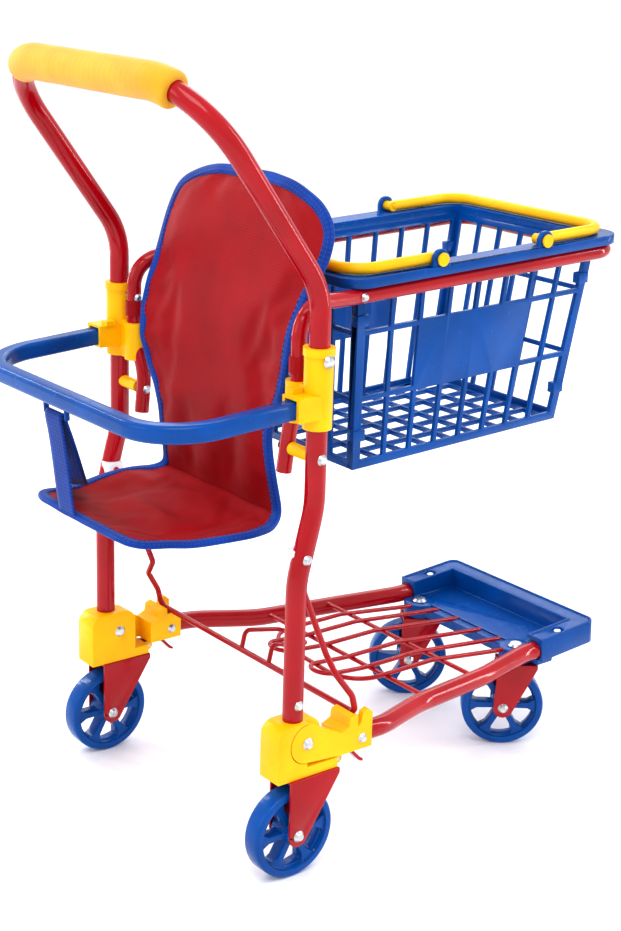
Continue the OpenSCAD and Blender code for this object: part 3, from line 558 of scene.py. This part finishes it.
def smoothed(points, passes):
    """A closed line of points with its corners eased."""
    for _ in range(passes):
        count = len(points)
        points = [(points[i - 1] + points[i] * 2 + points[(i + 1) % count]) / 4 for i in range(count)]
    return points


def edge_frames(path):
    """For each point of a closed path: the point, the way in from the edge and the cloth's normal."""
    outer = smoothed([p for p, q in path], 3)
    inner = smoothed([q for p, q in path], 3)
    frames = []
    for i, point in enumerate(outer):
        ahead = (outer[(i + 1) % len(outer)] - outer[i - 1]).normalized()
        inward = inner[i] - point
        inward = (inward - ahead * inward.dot(ahead)).normalized()
        frames.append((point, inward, ahead.cross(inward)))
    return frames


# section of the folded tape: millimetres in from the edge, and out from the cloth
TAPE_SECTION = [(-1.4, 0), (-1.0, 1.6), (0.2, 2.5), (3.0, 2.8), (7.0, 2.5), (7.8, 1.9),
                (7.8, -1.9), (7.0, -2.5), (3.0, -2.8), (0.2, -2.5), (-1.0, -1.6)]


def make_binding(frames):
    """Blue tape folded over the edge and sewn down; it runs round the base and the back."""
    rows = []
    for i, (point, inward, normal) in enumerate(frames):
        wander = 0.9 * noise.noise(Vector((i * 0.16, 3.1, 0)))
        lift = 0.6 * noise.noise(Vector((i * 0.22, 7.4, 0)))
        rows.append([point + (inward * (a + wander) + normal * (b + lift)) * MM
                     for a, b in TAPE_SECTION])
    tape = skin("seat_binding", rows, tube=True, closed=True)
    subdivide_once(tape)
    return tape


def make_stitches(name, places, length_mm, thick_mm):
    """Short threads, each given by its middle, its direction and the way out of the cloth."""
    bm = bmesh.new()
    for middle, ahead, out in places:
        third = ahead.cross(out).normalized()
        turn = Matrix((ahead, third, out)).transposed().to_4x4()
        size = Matrix.Diagonal((length_mm * MM / 2, thick_mm * MM / 2, thick_mm * MM / 2, 1))
        bmesh.ops.create_uvsphere(bm, u_segments=8, v_segments=5, radius=1.0,
                                  matrix=Matrix.Translation(middle) @ turn @ size)
    return finished(name, bm)


def tape_stitches(frames):
    """One line of stitches along the inner edge of the tape, on both faces."""
    places = []
    for point, inward, normal in frames:
        ahead = inward.cross(normal).normalized()
        for side in (-1, 1):
            place = point + (inward * STITCH_IN + normal * side * STITCH_OUT) * MM
            places.append((place, ahead, normal * side))
    return make_stitches("binding_stitches", places, 2.6, 0.7)


def crease_stitches(back):
    """The seam where the back is sewn to the base."""
    places = []
    row = back[1]
    for j in range(2, SEAT_COLUMNS - 1):
        for share in (0.0, 0.5):
            place = row[j].lerp(row[j + 1], share)
            ahead = (row[j + 1] - row[j]).normalized()
            places.append((place + Vector((-2.6, 0, 0)) * MM, ahead, Vector((-1, 0, 0))))
    return make_stitches("crease_stitches", places, 1.9, 0.8)


# the strap: up from the seat's front edge, over the rod under the bar, and down to the seat's left edge
STRAP_FRONT = [(-104.5, 17.5, 272.5), (-106.3, 17.0, 279.0), (-109.0, 16.0, 295.0), (-112.6, 14.4, 318.0),
               (-116.6, 12.8, 340.0), (-119.6, 12.0, 352.0), (-119.9, 12.0, 356.6)]
STRAP_OVER = [(-117.3, 12.0, 359.4), (-114.6, 12.0, 356.6)]
STRAP_REAR = [(-114.2, 12.4, 350.0), (-109.5, 15.5, 336.0), (-101.0, 23.0, 316.0), (-88.0, 39.0, 295.0),
              (-74.0, 60.0, 281.0), (-66.0, 74.0, 275.5)]
STRAP_HALF = 11.5
STRAP_THICK = 1.3


def make_strap():
    """A flat woven strap that passes over the rod in the bar's two lugs."""
    middle = [spot(*p) for p in STRAP_FRONT + STRAP_OVER + STRAP_REAR]
    curve = bpy.data.curves.new("strap_line", "CURVE")
    curve.dimensions = "3D"
    spline = curve.splines.new("NURBS")
    spline.points.add(len(middle) - 1)
    for knot, place in zip(spline.points, middle):
        knot.co = (*place, 1)
    spline.order_u = 3
    spline.use_endpoint_u = True
    spline.resolution_u = 6
    line = bpy.data.objects.new("strap_line", curve)
    bpy.context.scene.collection.objects.link(line)
    graph = bpy.context.evaluated_depsgraph_get()
    mesh = bpy.data.meshes.new_from_object(line.evaluated_get(graph))
    points = [v.co.copy() for v in mesh.vertices]
    bpy.data.objects.remove(line)
    rows = []
    for i, point in enumerate(points):
        turn = max(0.0, (i / len(points) - 0.62) / 0.38) * 0.9
        across = Vector((-math.sin(turn), math.cos(turn), 0))
        rows.append([point + across * STRAP_HALF * MM * (2 * j / 8 - 1) for j in range(9)])
    strap = skin("crotch_strap", rows)
    give_thickness(strap, STRAP_THICK)
    strap.data.shade_smooth()
    return strap


def make_seat():
    """Padded base and back, the tape round them, their stitching and the strap."""
    base = [base_row(-105 + 134 * i / 26) for i in range(27)]
    steps = [271 + 5.7 * i for i in range(42)] + [509.5, 513.5, 517, 520.2, 523.2, 525.8, 528, 529.5]
    back = [back_row(z) for z in steps]
    path = even_path(seat_border(base, back), TAPE_STEP)
    outline = [p for p, q in path] + list(base[-1])
    frames = edge_frames(path)
    base_panel = make_panel("seat_base_panel", tucked(base, 0), outline)
    back_panel = make_panel("seat_back_panel", tucked(back, -1), outline)
    for panel, cad in ((base_panel, "seat_base"), (back_panel, "seat_back")):
        dress(panel, "frame", "red_cloth")
        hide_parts(cad)
    dress(make_binding(frames), "frame", "blue_web")
    dress(tape_stitches(frames), "frame", "blue_web")
    dress(crease_stitches(back), "frame", "red_cloth")
    strap = make_strap()
    dress(strap, "frame", "blue_web")
    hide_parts("strap")


# ---- foam grip ----

GRIP_X = -92.0
GRIP_Z = 609
GRIP_BEND = 60
GRIP_STRAIGHT = 74.5
GRIP_ARC = 22
GRIP_R = 13.6
LEAN = math.radians(36.5)


def grip_line():
    """The grip's centre line from its right end to its left end, as places and directions."""
    lean = Vector((math.sin(LEAN), 0, -math.cos(LEAN)))
    half = []
    for number in range(14):
        y = GRIP_STRAIGHT * number / 14
        half.append((spot(GRIP_X, y, GRIP_Z), Vector((0, 1, 0))))
    for number in range(13):
        a = math.radians(GRIP_ARC * number / 12)
        corner = spot(GRIP_X, GRIP_STRAIGHT, GRIP_Z)
        place = corner + (lean * (1 - math.cos(a)) + Vector((0, math.sin(a), 0))) * GRIP_BEND * MM
        half.append((place, lean * math.sin(a) + Vector((0, math.cos(a), 0))))
    end, ahead = half[-1]
    half += [(end + ahead * step * MM, ahead) for step in (1.5, 3.2, 4.4, 5.0, 5.0)]
    flip = Vector((1, -1, 1))
    other = [(p * flip, -(d * flip)) for p, d in reversed(half[1:])]
    return other + half


def make_grip():
    """A soft foam sleeve, slightly uneven, whose ends round over onto the tube."""
    line = grip_line()
    radii = {0: 8.1, 1: 10.6, 2: 12.4, 3: 13.3}
    rows = []
    for i, (point, ahead) in enumerate(line):
        near_end = min(i, len(line) - 1 - i)
        side = ahead.cross(Vector((1, 0, 0))).normalized()
        third = ahead.cross(side)
        row = []
        for j in range(40):
            a = 2 * math.pi * j / 40
            out = side * math.cos(a) + third * math.sin(a)
            uneven = 0.25 * noise.noise((point + out * 0.02) * 45)
            row.append(point + out * (radii.get(near_end, GRIP_R) + uneven) * MM)
        rows.append(row)
    grip = skin("foam_grip", rows, tube=True)
    dress(grip, "frame", "yellow_foam")
    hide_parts("handle_grip")


# ---- the studio ----

FLOOR_SIZE = 60
WORLD_STRENGTH = 1.12


def make_floor():
    """A plain pale floor, wide enough that its edge never shows."""
    mat, tree, shader, coords = start("pale_studio_floor")
    tone = blotches(tree, coords, 400)
    tree.links.new(two_tones(tree, tone.outputs[0], "#f4f4f6", "#f8f8f9"), shader.inputs["Base Color"])
    shader.inputs["Roughness"].default_value = 0.55
    bpy.ops.mesh.primitive_plane_add(size=FLOOR_SIZE)
    floor = bpy.context.object
    floor.name = "studio_floor"
    floor.data.materials.append(mat)


def make_light():
    """White surroundings, three soft boxes, and two strips that draw a line of light down each tube."""
    world = bpy.data.worlds.new("studio")
    bpy.context.scene.world = world
    world.use_nodes = True
    world.node_tree.nodes["Background"].inputs[0].default_value = colour("#fdfdff")
    world.node_tree.nodes["Background"].inputs[1].default_value = WORLD_STRENGTH
    soft_light("key", (-1.0, -0.9, 2.3), 1.3, 1.3, 24)
    soft_light("fill", (-2.4, 0.6, 1.3), 1.2, 1.2, 10)
    soft_light("back", (1.4, 1.6, 2.0), 1.6, 1.6, 18)
    soft_light("right strip", (1.5, -0.9, 0.9), 0.14, 1.7, 13)
    soft_light("left strip", (-0.5, 1.7, 0.9), 0.14, 1.7, 13)
    bpy.context.scene.view_settings.view_transform = "Standard"
    bpy.context.scene.view_settings.gamma = 0.87


make_camera()
paint_nodes()
round_all()
make_grip()
make_seat()
make_floor()
make_light()
